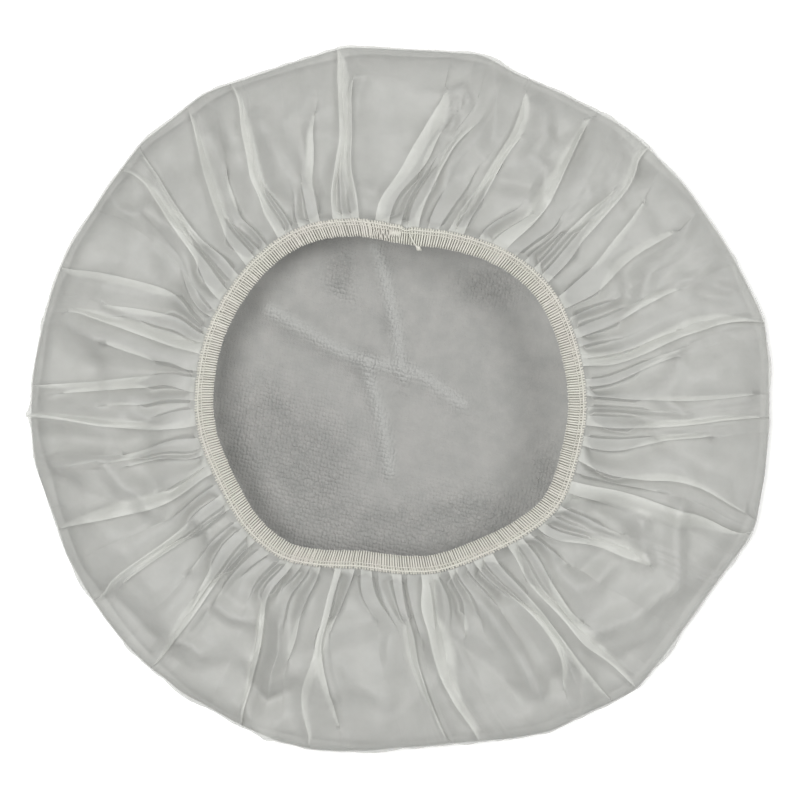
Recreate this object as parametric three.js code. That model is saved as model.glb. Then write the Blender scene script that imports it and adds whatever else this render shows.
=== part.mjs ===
import * as THREE from "three";

// Shower cap lying crown down, with its gathered opening up.
// Millimetres, +Z up. The origin is under the middle of the crown, on the surface that it lies on.

// Driving sizes of the cap as it lies
const capDiameter = 279; // mean width across the folded rim: an 11 inch cap
const openingDiameter = 135; // mean width across the middle of the relaxed seam
const openingOffsetX = -3.5; // the opening lies a little off the middle of the rim
const openingOffsetY = 1.1;
const rimHeight = 8; // height of the widest line, where crown and brim meet
const seatHeight = 27; // height of the gathered film edge that carries the elastic
const foldDepth = 2.6; // how far a main fold of the brim stands out of its even surface

// Sheets
const filmThickness = 0.25;
const liningThickness = 0.9;
const seatGap = 0.3; // clearance between two pieces that touch

// Sewn edge of the opening
const seamWidth = 7.3; // overlock seam, from its outer loops to the loops round the cut edge
const edgeTurn = 0.4; // thread that turns round the cut edges of elastic and film
const elasticWidth = 5.5;
const elasticThickness = 0.9;
const looperThickness = 0.35;
const needleThreadWidth = 0.4;
const needleThreadThickness = 0.35;
const outerNeedleInset = 0.9; // from the seam's outer side to the first needle line
const innerNeedleInset = 2.6; // from the seam's outer side to the second needle line

// Where the ends of the elastic lap, as directions in degrees seen from above
const lapStart = 88;
const lapEnd = 101;
const lapRamp = 5; // the strip climbs on to its own start, and the threads climb over it

// Bar tack over the lap
const tackWidth = 3.2;
const tackLength = 6.5;
const tackThickness = 0.5;
const tackThreadSpread = 1.1; // height of the thread's cut across a leg
const tackLegs = 7;
const tackDirection = 93.5;

// Loose end of the seam's thread, with its knot
const tailDiameter = 0.5;
const tailLength = 7; // from the seam to the middle of the knot
const knotDiameter = 1.6;
const knotLength = 2.4;
const tailDirection = 83; // where it leaves the seam
const tailTurn = 42; // how far it points away from straight in towards the opening's middle
const tailInset = 4; // from the seam's outer side to where the tail starts

// Counts
const outlineSteps = 720;
const bandSteps = 96;
const tailSides = 8;

// The rim seen from above, corner by corner, in pixels
const rimPixels = [
  [769, 412], [766, 329], [757, 306], [734, 260], [706, 217], [651, 151], [593, 110], [510, 71],
  [485, 56], [473, 53], [400, 51], [342, 47], [324, 52], [253, 77], [202, 94], [170, 121],
  [148, 135], [121, 168], [60, 265], [42, 324], [31, 380], [32, 455], [57, 530], [66, 558],
  [105, 621], [147, 668], [242, 728], [310, 751], [436, 746], [550, 733], [579, 718], [635, 692],
  [649, 677], [724, 573], [753, 533], [760, 510], [769, 433],
];
const rimCentrePixels = [400, 399];
const rimMeanPixels = 722; // mean width of that outline

// The middle line of the seam seen from above, in pixels
const seamPixels = [
  [577, 400], [561, 325], [537, 285], [500, 257], [448, 240], [413, 236], [394, 233], [350, 227],
  [303, 235], [265, 259], [234, 296], [212, 341], [203, 396], [207, 435], [225, 480], [250, 523],
  [282, 550], [313, 558], [360, 560], [400, 565], [435, 564], [481, 548], [522, 527], [552, 501],
  [568, 459],
];
const seamCentrePixels = [390, 396];
const seamMeanPixels = 356;

// Main folds of the brim: the direction of each at the rim and at the seam, in degrees
const foldDirections = [
  [-4, -8], [11, 7], [15, 15], [23, 23], [31, 28], [45, 41], [50, 46], [56, 51], [64, 58],
  [71, 66], [77, 75], [90, 94], [99, 107], [115, 118], [123, 131], [130, 138], [140, 149],
  [149, 157], [158, 162], [168, 169], [177, 178], [189, 192], [194, 200], [201, 207], [205, 211],
  [217, 217], [227, 225], [244, 238], [256, 252], [265, 261], [276, 274], [283, 281], [294, 296],
  [299, 302], [309, 308], [323, 322], [332, 331], [340, 341],
];

// Levels of the skin. Crown: share of the way out to the rim, share of the rim's height.
const crownShares = [[0.85, 0], [0.955, 0.25], [1, 1]];
// Brim: share of the way in to the seam, share of the climb from rim to seat, share of a fold.
const brimShares = [[0.07, 0.28, 0.4], [0.38, 0.66, 1], [0.72, 0.88, 0.8], [1, 1, 0]];

const radians = THREE.MathUtils.degToRad;
const polar = (direction, radius) =>
  new THREE.Vector2(Math.cos(radians(direction)), Math.sin(radians(direction)))
    .multiplyScalar(radius);

// A closed outline through traced corners, about its own centre, at real size
function outlineFrom(pixels, centre, size) {
  const corners = pixels.map(([x, y]) => new THREE.Vector3(x - centre[0], centre[1] - y, 0));
  corners.forEach((corner) => corner.multiplyScalar(size));
  return new THREE.CatmullRomCurve3(corners, true, "centripetal").getPoints(outlineSteps);
}

const rimOutline = outlineFrom(rimPixels, rimCentrePixels, capDiameter / rimMeanPixels);
const seamOutline = outlineFrom(seamPixels, seamCentrePixels, openingDiameter / seamMeanPixels);

// How far an outline lies from its centre in one direction
function radiusToward(outline, direction) {
  const ray = polar(direction, 1);
  for (let i = 1; i < outline.length; i += 1) {
    const from = outline[i - 1];
    const step = outline[i].clone().sub(from);
    const across = ray.x * step.y - ray.y * step.x;
    const share = (ray.y * from.x - ray.x * from.y) / across;
    const reach = (from.x * step.y - from.y * step.x) / across;
    if (share >= 0 && share <= 1 && reach > 0) return reach;
  }
  throw new Error(`no outline towards ${direction}`);
}

// A place over the seam's middle line, moved out from it, at one height
function seamPlace(direction, outward, height) {
  const place = polar(direction, radiusToward(seamOutline, direction) + outward);
  return new THREE.Vector3(place.x + openingOffsetX, place.y + openingOffsetY, height);
}

const seamOuter = seamWidth / 2;
const seamInner = -seamWidth / 2;
const cutEdge = seamInner + edgeTurn;

// Columns of the skin: one on each fold's ridge and one in the valley after it
const columns = foldDirections.flatMap(([rim, seam], fold) => {
  const wraps = fold + 1 === foldDirections.length;
  const [nextRim, nextSeam] = foldDirections[wraps ? 0 : fold + 1];
  const turn = wraps ? 360 : 0;
  return [
    { rim, seam, fold: 1 },
    { rim: (rim + nextRim + turn) / 2, seam: (seam + nextSeam + turn) / 2, fold: -1 },
  ];
});

// The rim's own columns give the cap's box, whose middle is put over the origin
const rimPlaces = columns.map(({ rim }) => polar(rim, radiusToward(rimOutline, rim)));
const rimBox = new THREE.Box2().setFromPoints(rimPlaces);
const rimMiddle = rimBox.getCenter(new THREE.Vector2());
rimPlaces.forEach((place) => place.sub(rimMiddle));

// The even surface of the skin's outside, level by level, before its folds
const levels = [
  ...crownShares.map(([out, rise]) =>
    rimPlaces.map((rim) => ({
      place: new THREE.Vector3(rim.x * out, rim.y * out, rimHeight * rise),
      foldShare: 0,
    }))),
  ...brimShares.map(([way, rise, foldShare]) =>
    columns.map(({ seam }, column) => {
      const height = rimHeight + (seatHeight - rimHeight) * rise;
      const rim = new THREE.Vector3(rimPlaces[column].x, rimPlaces[column].y, height);
      return { place: rim.lerp(seamPlace(seam, seamOuter, height), way), foldShare };
    })),
  columns.map(({ seam }) => ({ place: seamPlace(seam, cutEdge, seatHeight), foldShare: 0 })),
];
const rimLevel = crownShares.length - 1;
const crownMiddle = new THREE.Vector3(0, 0, 0);

// Outward direction of the even surface at one place
function outwardAt(level, column) {
  const count = columns.length;
  const ring = levels[level];
  const around = ring[(column + 1) % count].place.clone()
    .sub(ring[(column + count - 1) % count].place);
  const before = level > 0 ? levels[level - 1][column].place : crownMiddle;
  const after = levels[Math.min(level + 1, levels.length - 1)][column].place;
  return around.cross(after.clone().sub(before)).normalize();
}

// One level of the skin at a depth under its outside, with its folds
function skinRing(level, depth) {
  return columns.map(({ fold }, column) => {
    const { place, foldShare } = levels[level][column];
    const shift = fold * foldShare * foldDepth - depth;
    return place.clone().addScaledVector(outwardAt(level, column), shift);
  });
}

// Closed surface through rings of points: a ring of one point is a pole.
// joinEnds joins the last ring to the first, and openRound leaves a strip with two flat ends.
// From ring turnBack on, the four-sided faces are cut along their other diagonal: a sheet's second
// skin runs back over its first one, and so both are cut along the same lines and stay apart.
function loft(rings, { joinEnds = false, openRound = false, turnBack = rings.length } = {}) {
  const positions = rings.flatMap((ring) => ring.flatMap((point) => point.toArray()));
  const starts = rings.map((ring, at) => rings.slice(0, at).flat().length);
  const around = Math.max(...rings.map((ring) => ring.length));
  const corner = (ring, column) =>
    starts[ring] + (rings[ring].length === 1 ? 0 : column % around);
  const index = [];
  const ringPairs = joinEnds ? rings.length : rings.length - 1;
  for (let ring = 0; ring < ringPairs; ring += 1) {
    const next = (ring + 1) % rings.length;
    for (let column = 0; column < (openRound ? around - 1 : around); column += 1) {
      const near = [corner(ring, column), corner(ring, column + 1)];
      const far = [corner(next, column), corner(next, column + 1)];
      const faces = ring < turnBack
        ? [[near[0], near[1], far[1]], [near[0], far[1], far[0]]]
        : [[near[0], near[1], far[0]], [near[1], far[1], far[0]]];
      index.push(...faces.filter((face) => new Set(face).size === face.length).flat());
    }
  }
  for (let ring = 1; openRound && ring < rings.length - 1; ring += 1) {
    const last = around - 1;
    index.push(corner(0, 0), corner(ring, 0), corner(ring + 1, 0));
    index.push(corner(0, last), corner(ring + 1, last), corner(ring, last));
  }
  const geometry = new THREE.BufferGeometry();
  geometry.setAttribute("position", new THREE.Float32BufferAttribute(positions, 3));
  geometry.setIndex(index);
  geometry.computeVertexNormals();
  return geometry;
}

// A closed sheet from the crown's middle to one level, between two depths under the outside
function skin(lastLevel, outerDepth, innerDepth) {
  const middle = (depth) => [new THREE.Vector3(0, 0, depth)];
  const rings = (depth) =>
    Array.from({ length: lastLevel + 1 }, (unused, level) => skinRing(level, depth));
  const outer = [middle(outerDepth), ...rings(outerDepth)];
  const inner = [...rings(innerDepth).reverse(), middle(innerDepth)];
  return loft([...outer, ...inner], { turnBack: outer.length });
}

// How far the threads are lifted by the lapped elastic in one direction
const lapLift = elasticThickness + seatGap;
const climb = (direction, from, to) => THREE.MathUtils.smoothstep(direction, from, to);
const threadLift = (direction) =>
  lapLift * climb(direction, lapStart - lapRamp, lapStart)
    * (1 - climb(direction, lapEnd, lapEnd + lapRamp));

// A flat strip that follows the seam, between two distances from its middle line.
// directions are its stations, and heightAt gives its underside in one direction.
function seamStrip(directions, inner, outer, thickness, heightAt, shape) {
  const line = (outward, up) =>
    directions.map((direction) => seamPlace(direction, outward, heightAt(direction) + up));
  return loft([
    line(inner, 0), line(outer, 0), line(outer, thickness), line(inner, thickness),
  ], { joinEnds: true, ...shape });
}

const fullTurn = Array.from({ length: bandSteps }, (unused, step) => step * 360 / bandSteps);
const closedStrip = (inner, outer, thickness, heightAt) =>
  seamStrip(fullTurn, inner, outer, thickness, heightAt, {});

// Heights of the layers of the seam, from the film's edge up and down
const elasticBase = seatHeight + seatGap;
const upperLooperBase = elasticBase + elasticThickness + seatGap;
const upperLooperTop = upperLooperBase + looperThickness;
const needleBase = upperLooperTop + seatGap;
const lowerLooperBase = seatHeight - filmThickness - seatGap - looperThickness;

const filmShell = () => skin(levels.length - 1, 0, filmThickness);

function terryLining() {
  const outside = filmThickness + seatGap;
  return skin(rimLevel, outside, outside + liningThickness);
}

// One strip that goes once round and laps its own start
function elasticBand() {
  const turn = 360 + lapEnd - lapStart;
  const steps = Math.ceil(turn * bandSteps / 360);
  const directions = Array.from({ length: steps + 1 }, (unused, step) =>
    lapStart + turn * step / steps);
  const heightAt = (direction) =>
    elasticBase + lapLift * climb(direction, lapStart + 360 - lapRamp, lapStart + 360);
  return seamStrip(directions, cutEdge, cutEdge + elasticWidth, elasticThickness, heightAt,
    { openRound: true });
}

const upperLooper = () => closedStrip(seamInner, seamOuter, looperThickness,
  (direction) => upperLooperBase + threadLift(direction));

const lowerLooper = () => closedStrip(seamInner, seamOuter, looperThickness,
  () => lowerLooperBase);

const needleThread = (inset) => closedStrip(
  seamOuter - inset - needleThreadWidth / 2, seamOuter - inset + needleThreadWidth / 2,
  needleThreadThickness, (direction) => needleBase + threadLift(direction));

// Zigzag of thread across the lap, lying on the raised upper looper beside the needle lines
function joinTack() {
  const tackInset = innerNeedleInset + needleThreadWidth + seatGap + tackWidth / 2;
  const leg = tackLength / tackLegs;
  const half = (tackWidth - tackThreadSpread) / 2;
  const turns = Array.from({ length: tackLegs + 1 }, (unused, turn) =>
    new THREE.Vector2(turn * leg - tackLength / 2, turn % 2 ? half : -half));
  const spread = (side) => turns.map((turn) =>
    new THREE.Vector2(turn.x, turn.y + side * tackThreadSpread / 2));
  const outline = new THREE.Shape([...spread(-1), ...spread(1).reverse()]);
  const geometry = new THREE.ExtrudeGeometry(outline,
    { depth: tackThickness, bevelEnabled: false });
  const height = needleBase + lapLift;
  return { geometry, place: seamPlace(tackDirection, seamOuter - tackInset, height) };
}

// Thread with a knot at its end, turned about its own length, which starts along +Y
function threadTail() {
  const thread = tailDiameter / 2;
  const knot = knotDiameter / 2;
  const knotStart = tailLength - knotLength / 2;
  const knotShares = [[0.5, 0.12], [0.9, 0.3], [1, 0.5], [0.85, 0.75], [0.45, 0.94]];
  const outline = [
    new THREE.Vector2(0, 0),
    new THREE.Vector2(thread, 0),
    new THREE.Vector2(thread, knotStart),
    ...knotShares.map(([across, along]) =>
      new THREE.Vector2(knot * across, knotStart + knotLength * along)),
    new THREE.Vector2(0, knotStart + knotLength),
  ];
  const height = upperLooperTop + seatGap + tailDiameter / 2;
  return {
    geometry: new THREE.LatheGeometry(outline, tailSides),
    place: seamPlace(tailDirection, seamOuter - tailInset, height),
  };
}

// Materials
const milkyFilm = () => new THREE.MeshStandardMaterial({
  color: 0xc9cac5, roughness: 0.3, metalness: 0, transparent: true, opacity: 0.7,
});
const greyTerry = () => new THREE.MeshStandardMaterial({
  color: 0xa5a5a0, roughness: 1, metalness: 0,
});
const creamElastic = () => new THREE.MeshStandardMaterial({
  color: 0xc3c1b3, roughness: 0.85, metalness: 0,
});
const creamThread = () => new THREE.MeshStandardMaterial({
  color: 0xe0dfd5, roughness: 0.7, metalness: 0,
});

function piece(name, geometry, material) {
  const mesh = new THREE.Mesh(geometry, material);
  mesh.name = name;
  return mesh;
}

const tack = joinTack();
const tackMesh = piece("join_tack", tack.geometry, creamThread());
tackMesh.position.copy(tack.place);
tackMesh.rotation.z = radians(tackDirection - 90);

const tail = threadTail();
const tailMesh = piece("thread_tail", tail.geometry, creamThread());
tailMesh.position.copy(tail.place);
tailMesh.rotation.z = radians(tailDirection + 180 + tailTurn - 90);

const cap = new THREE.Group();
cap.add(
  piece("film_shell", filmShell(), milkyFilm()),
  piece("terry_lining", terryLining(), greyTerry()),
  piece("elastic_band", elasticBand(), creamElastic()),
  piece("upper_looper_thread", upperLooper(), creamThread()),
  piece("lower_looper_thread", lowerLooper(), creamThread()),
  piece("needle_thread_outer", needleThread(outerNeedleInset), creamThread()),
  piece("needle_thread_inner", needleThread(innerNeedleInset), creamThread()),
  tackMesh,
  tailMesh,
);

export default cap;
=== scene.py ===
# %% [markdown]
# # A gathered shower cap, lying crown down
# The cap is one disc of milky film with a terry lining, gathered on to an elastic by an overlock
# seam. It lies on its crown with the opening up, so the folded brim and the seam are what shows.
# The CAD model is loaded first. It gives every place and size, and each soft solid in it is
# replaced below by a piece made as the real one is made: cut flat, folded and sewn.

# %% Load the fixed frame
import math

import bmesh
import bpy
import numpy as np
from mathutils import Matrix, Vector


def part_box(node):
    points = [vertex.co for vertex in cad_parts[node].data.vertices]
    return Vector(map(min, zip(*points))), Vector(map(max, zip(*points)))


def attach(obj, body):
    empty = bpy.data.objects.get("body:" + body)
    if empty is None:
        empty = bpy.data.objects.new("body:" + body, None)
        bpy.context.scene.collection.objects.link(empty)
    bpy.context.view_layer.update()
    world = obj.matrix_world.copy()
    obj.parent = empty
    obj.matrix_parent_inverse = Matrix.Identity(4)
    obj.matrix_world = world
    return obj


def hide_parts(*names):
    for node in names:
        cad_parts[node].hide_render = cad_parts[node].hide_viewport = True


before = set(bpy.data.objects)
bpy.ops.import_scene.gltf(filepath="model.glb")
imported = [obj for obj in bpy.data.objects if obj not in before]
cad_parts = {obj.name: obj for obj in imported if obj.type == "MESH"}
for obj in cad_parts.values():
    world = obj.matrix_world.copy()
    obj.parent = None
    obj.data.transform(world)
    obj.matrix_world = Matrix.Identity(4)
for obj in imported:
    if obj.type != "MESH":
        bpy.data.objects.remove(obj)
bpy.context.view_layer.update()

MM = 0.001

# %% [markdown]
# ## Sizes
# Lengths are in millimetres here, and are turned to metres where a mesh is made.
# The heights come from the CAD pieces, so each soft piece lies where its solid does.

# %% Sizes of the cap
OPENING_CENTRE = np.array([-3.5, 1.1])  # the opening lies a little off the middle of the rim
RIM_HEIGHT = 8.0  # the widest line, where crown and brim meet
SEAM_WIDTH = 7.3
SEAM_OUT = SEAM_WIDTH / 2
CUT_EDGE = 0.4 - SEAM_OUT  # the cut edges of film and elastic, inside the edge loops
SEAT_GAP = 0.3  # from the elastic down to the film's gathered edge
ELASTIC_WIDTH = 5.5
LAP_START, LAP_END, LAP_RAMP = 88.0, 101.0, 5.0  # where the elastic's ends lap, in degrees

elastic_low, elastic_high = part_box("elastic_band")
looper_low, looper_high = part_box("upper_looper_thread")
lower_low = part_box("lower_looper_thread")[0]
LOOPER_THICK = 0.35  # the CAD looper where no ends lap
SEAT_HEIGHT = elastic_low.z / MM - SEAT_GAP
LAP_LIFT = (looper_high.z - looper_low.z) / MM - LOOPER_THICK
print("gathered edge of the film at", round(SEAT_HEIGHT, 2), "mm, lap lifts", round(LAP_LIFT, 2))

# %% [markdown]
# ## Outlines from the CAD
# Seen from above, the rim and the seam are closed lines that aren't quite round. Both are read
# from the corners of the CAD solids and kept as a radius for each direction, because a sheet
# that is gathered round a middle is easiest to think of in rings.

# %% Rim and seam as radii by direction


def corners_of(name):
    """The corner points of a CAD node, each once, in mm."""
    places = np.array([vertex.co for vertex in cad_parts[name].data.vertices]) / MM
    return np.unique(places.round(4), axis=0)


def directions_of(places):
    return np.degrees(np.arctan2(places[..., 1], places[..., 0])) % 360


def unit(directions):
    angle = np.radians(directions)
    return np.stack([np.cos(angle), np.sin(angle)], -1)


def raised(flat, height):
    """Points of the plan lifted to one height, or to a height each."""
    return np.concatenate([flat, np.broadcast_to(height, flat.shape[:-1])[..., None]], axis=-1)


def softened(values, reach):
    """A closed row of values, each averaged with its neighbours up to about reach steps away."""
    steps = np.arange(-3 * reach, 3 * reach + 1)
    weights = np.exp(-0.5 * (steps / reach) ** 2)
    rolled = sum(np.roll(values, step) * weight for step, weight in zip(steps, weights))
    return rolled / weights.sum()


PER_DEGREE = 4
EVERY = np.arange(360 * PER_DEGREE) / PER_DEGREE  # the directions at which outlines are kept
BETWEEN = 24  # points on each straight side of the CAD rim
skin = corners_of("film_shell")
rim_corners = skin[np.abs(skin[:, 2] - RIM_HEIGHT) < 0.01][:, :2]
rim_corners = rim_corners[np.argsort(directions_of(rim_corners))]
shares = np.arange(BETWEEN)[:, None, None] / BETWEEN
rim_points = rim_corners * (1 - shares) + np.roll(rim_corners, -1, axis=0) * shares
rim_points = rim_points.transpose(1, 0, 2).reshape(-1, 2)
rim_table = softened(np.interp(EVERY, directions_of(rim_points), np.hypot(*rim_points.T),
                               period=360), 4)

seam_corners = corners_of("upper_looper_thread")[:, :2] - OPENING_CENTRE
stations = np.round(directions_of(seam_corners) * PER_DEGREE) / PER_DEGREE % 360
seam_stations = np.unique(stations)
reaches = [np.hypot(*seam_corners[stations == station].T) for station in seam_stations]
seam_table = softened(np.interp(EVERY, seam_stations, [(reach.min() + reach.max()) / 2
                                                       for reach in reaches], period=360), 3)


def rim_radius(directions):
    return np.interp(directions, EVERY, rim_table, period=360)


def seam_radius(directions):
    """To the middle line of the seam, from the opening's own centre."""
    return np.interp(directions, EVERY, seam_table, period=360)


def seam_place(directions, outward):
    """Points on the seam, so many mm outward of its middle line."""
    return OPENING_CENTRE + unit(directions) * (seam_radius(directions) + outward)[..., None]


print("mean radius of rim and seam:", rim_table.mean().round(1), seam_table.mean().round(1))

# %% [markdown]
# ## Camera
# The photo looks straight down at the open side. The camera stands far above the cap, so its
# perspective is slight, and its view is as wide as the photo at the height of the rim.

# %% Camera straight above the opening
PIXEL = 0.3864  # mm in one pixel of the photo at the height of the rim
PICTURE = 800
CAMERA_RISE = 1200.0  # above the rim
MIDDLE = np.array([0.0, -0.39])  # the place under the middle of the picture
SENSOR = 36

camera_data = bpy.data.cameras.new("photo_camera")
camera_data.sensor_width = SENSOR
camera_data.lens = SENSOR * CAMERA_RISE / (PIXEL * PICTURE)
camera_data.clip_end = 10
camera = bpy.data.objects.new("photo_camera", camera_data)
camera.location = (MIDDLE[0] * MM, MIDDLE[1] * MM, (RIM_HEIGHT + CAMERA_RISE) * MM)
bpy.context.scene.collection.objects.link(camera)
bpy.context.scene.camera = camera


def to_picture(places):
    """Where points in mm are seen in the photo, in its pixels."""
    scale = PIXEL * (1 - (places[..., 2:] - RIM_HEIGHT) / CAMERA_RISE)
    across = (places[..., :2] - MIDDLE) / scale
    return PICTURE / 2 + across * [1, -1]


def seen_at(pixels, height=RIM_HEIGHT):
    """The places at one height, or at a height each, that are seen at some pixels."""
    scale = PIXEL * (1 - (np.asarray(height, float)[..., None] - RIM_HEIGHT) / CAMERA_RISE)
    flat = (np.asarray(pixels, float) - PICTURE / 2) * [1, -1] * scale + MIDDLE
    return raised(flat, height)


print("lens", round(camera_data.lens, 1), "mm")

# %% [markdown]
# ## Helpers for meshes
# Sheets and cords are both a grid of points: a sheet's rows are rings round the cap, and a cord's
# rows are rings round the cord. The grid is made flat and then moved into place point by point.

# %% Mesh helpers


def woven(name, places, round_columns=True, round_rows=False, middle=None, ends=False,
          creased=None):
    """A mesh through places, rows by columns of points in mm. Columns or rows may close on
    themselves, a middle point closes the first row, and ends closes the ends of a cord. Where
    creased is true at a point, the line to the next row is a sharp one."""
    rows, columns = places.shape[:2]
    grid = bmesh.new()
    wide, long = columns + round_columns, rows + round_rows
    bmesh.ops.create_grid(grid, x_segments=wide - 1, y_segments=long - 1, size=1)
    grid.verts.ensure_lookup_table()
    welds = {}
    if round_columns:
        welds.update({grid.verts[row * wide + columns]: grid.verts[row * wide]
                      for row in range(long)})
    if round_rows:
        welds.update({grid.verts[rows * wide + column]: grid.verts[column % columns]
                      for column in range(wide)})
    if welds:
        bmesh.ops.weld_verts(grid, targetmap=welds)
    grid.verts.ensure_lookup_table()
    first_ring = [grid.verts[column] for column in range(columns)]
    last_ring = [grid.verts[(rows - 1) * columns + column] for column in range(columns)]
    if middle is not None:
        hub = grid.verts.new(middle)
        for column, corner in enumerate(first_ring):
            grid.faces.new((corner, hub, first_ring[(column + 1) % columns]))
        places = np.concatenate([places.reshape(-1, 3), [middle]])
    if ends:
        grid.faces.new(first_ring)
        grid.faces.new(last_ring)
    bmesh.ops.recalc_face_normals(grid, faces=grid.faces)
    mesh = bpy.data.meshes.new(name)
    grid.to_mesh(mesh)
    grid.free()
    mesh.vertices.foreach_set("co", (np.asarray(places).reshape(-1) * MM).astype(np.float32))
    mesh.polygons.foreach_set("use_smooth", [True] * len(mesh.polygons))
    if creased is not None:
        corners = np.empty(len(mesh.edges) * 2, int)
        mesh.edges.foreach_get("vertices", corners)
        corners = np.sort(corners.reshape(-1, 2), axis=1)
        to_next_row = corners[:, 1] - corners[:, 0] == columns
        sharp = to_next_row & np.append(creased, False)[corners[:, 0]]
        mesh.attributes.new("sharp_edge", "BOOLEAN", "EDGE").data.foreach_set("value", sharp)
    mesh.update()
    piece = bpy.data.objects.new(name, mesh)
    bpy.context.scene.collection.objects.link(piece)
    print(name, len(mesh.vertices), "points,", len(mesh.polygons), "faces")
    return piece


def cord(name, line, radius, sides=6, closed=True, flat=1.0):
    """A tube round a line of points in mm. A flat below 1 makes it lower than it is wide."""
    after, before = np.roll(line, -1, axis=0), np.roll(line, 1, axis=0)
    if not closed:
        after[-1], before[0] = line[-1], line[0]
    along = after - before
    along /= np.linalg.norm(along, axis=1, keepdims=True)
    aside = np.cross([0.0, 0.0, 1.0], along)
    aside /= np.maximum(np.linalg.norm(aside, axis=1, keepdims=True), 1e-6)
    up = np.cross(along, aside)
    turns = np.arange(sides) / sides * 2 * math.pi
    wide = np.broadcast_to(radius, len(line))[:, None, None]
    rings = line[:, None] + wide * (np.cos(turns)[:, None] * aside[:, None]
                                    + np.sin(turns)[:, None] * flat * up[:, None])
    return woven(name, rings, round_rows=closed, ends=not closed)


def ridged(angle):
    """A wave with straight sides, in place of a sine, where a sheet breaks into flat facets."""
    return 2 / math.pi * np.arcsin(np.sin(angle))


def wander(places, wavelength, seed, waves=9, wave=np.sin):
    """A random height at each place, its waves about so long. Nearly all are from -1 to 1."""
    draw = np.random.default_rng(seed)
    total, usual_peak = 0, 1.8 * math.sqrt(waves / 2)
    for _ in range(waves):
        ahead = unit(draw.uniform(0, 360)) / (wavelength * draw.uniform(0.75, 1.4))
        total = total + wave(2 * math.pi * (places[..., :2] @ ahead + draw.uniform(0, 1)))
    return total / usual_peak


def run_along(places, axis=0):
    """The length along lines of points, from 0 at the first point of each."""
    steps = np.linalg.norm(np.diff(places, axis=axis), axis=-1)
    return np.concatenate([np.zeros_like(steps.take([0], axis)), np.cumsum(steps, axis)], axis)


def filled_in(points, spots):
    """Points between those of a line, each spot counted in points along it."""
    count = np.arange(len(points))
    return np.stack([np.interp(spots, count, column) for column in np.transpose(points)], axis=1)


def smooth(values, low=0.0, high=1.0):
    """0 up to low, 1 from high, and an even curve between them."""
    share = np.clip((values - low) / (high - low), 0, 1)
    return share * share * (3 - 2 * share)


# %% [markdown]
# ## The folds of the brim
# The film is gathered to a third of its length, and the extra length lies in folds that run from
# the rim to the seam. The larger ones are traced from the photo, each as a line of pixels from the
# rim inwards. The edge that shows of each fold faces one way: 1 is anticlockwise, -1 clockwise.

# %% Traced folds
LEFT_LOWER = [
    (1, 1.0, [(38, 415), (65, 420), (115, 430), (182, 429), (195, 426)]),
    (-1, 0.6, [(150, 420), (175, 413), (195, 409)]),
    (-1, 0.7, [(120, 462), (155, 446), (182, 439), (199, 437)]),
    (1, 0.7, [(120, 463), (170, 456), (185, 462), (204, 455)]),
    (1, 0.6, [(155, 491), (175, 485), (195, 475), (206, 466)]),
    (1, 1.3, [(57, 529), (95, 522), (155, 510), (170, 504), (195, 487), (208, 477)]),
    (-1, 1.0, [(107, 597), (115, 580), (137, 565), (170, 540), (185, 527), (200, 510), (217, 497)]),
    (1, 0.9, [(120, 580), (157, 555), (195, 534), (206, 527), (227, 512)]),
    (-1, 0.8, [(200, 602), (205, 580), (220, 550), (237, 530), (245, 525)]),
    (1, 1.0, [(145, 667), (157, 662), (195, 615), (232, 570), (260, 537)]),
    (1, 0.6, [(235, 576), (255, 560), (272, 550)]),
    (1, 1.0, [(232, 717), (240, 690), (257, 640), (260, 615), (260, 590), (275, 577), (290, 565)]),
    (-1, 0.8, [(265, 665), (266, 615), (272, 587), (285, 570)]),
    (1, 0.8, [(287, 665), (300, 632), (305, 602), (320, 570)]),
    (-1, 1.0, [(310, 737), (299, 695), (312, 655), (325, 622), (332, 597), (335, 567)]),
    (1, 0.8, [(342, 732), (332, 690), (320, 637), (330, 590), (342, 567)]),
    (1, 0.7, [(320, 632), (335, 625), (345, 597), (355, 572)]),
    (-1, 0.7, [(382, 622), (365, 605), (360, 575)]),
]
LEFT_UPPER = [
    (1, 0.9, [(57, 394), (120, 390), (170, 385), (192, 392)]),
    (-1, 0.9, [(40, 385), (102, 380), (160, 375), (195, 377)]),
    (1, 0.9, [(105, 340), (120, 352), (157, 360), (195, 370)]),
    (1, 1.3, [(72, 312), (120, 330), (157, 342), (195, 354)]),
    (-1, 0.9, [(102, 305), (145, 309), (175, 317), (200, 332)]),
    (-1, 0.9, [(57, 267), (102, 272), (145, 282), (175, 292), (192, 315), (202, 325)]),
    (1, 0.7, [(182, 266), (187, 290), (200, 310), (212, 317)]),
    (1, 0.6, [(195, 287), (207, 302), (215, 311)]),
    (1, 1.0, [(122, 172), (150, 185), (170, 215), (185, 240), (200, 267), (205, 282), (220, 300)]),
    (-1, 0.9, [(142, 147), (160, 180), (195, 235), (227, 260), (240, 275)]),
    (-1, 0.7, [(230, 225), (260, 250)]),
    (1, 1.0, [(187, 102), (195, 130), (202, 165), (217, 210), (232, 245), (245, 265)]),
    (1, 1.0, [(230, 85), (240, 102), (242, 130), (252, 180), (262, 210), (275, 235)]),
    (-1, 0.5, [(260, 182), (289, 222)]),
    (1, 0.7, [(295, 192), (295, 220)]),
    (-1, 0.9, [(317, 112), (317, 155), (315, 205)]),
    (1, 1.0, [(340, 50), (339, 92), (341, 130), (340, 142), (332, 180), (331, 215)]),
    (-1, 0.9, [(350, 80), (351, 112), (352, 142), (351, 170), (357, 192), (359, 212)]),
]
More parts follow.
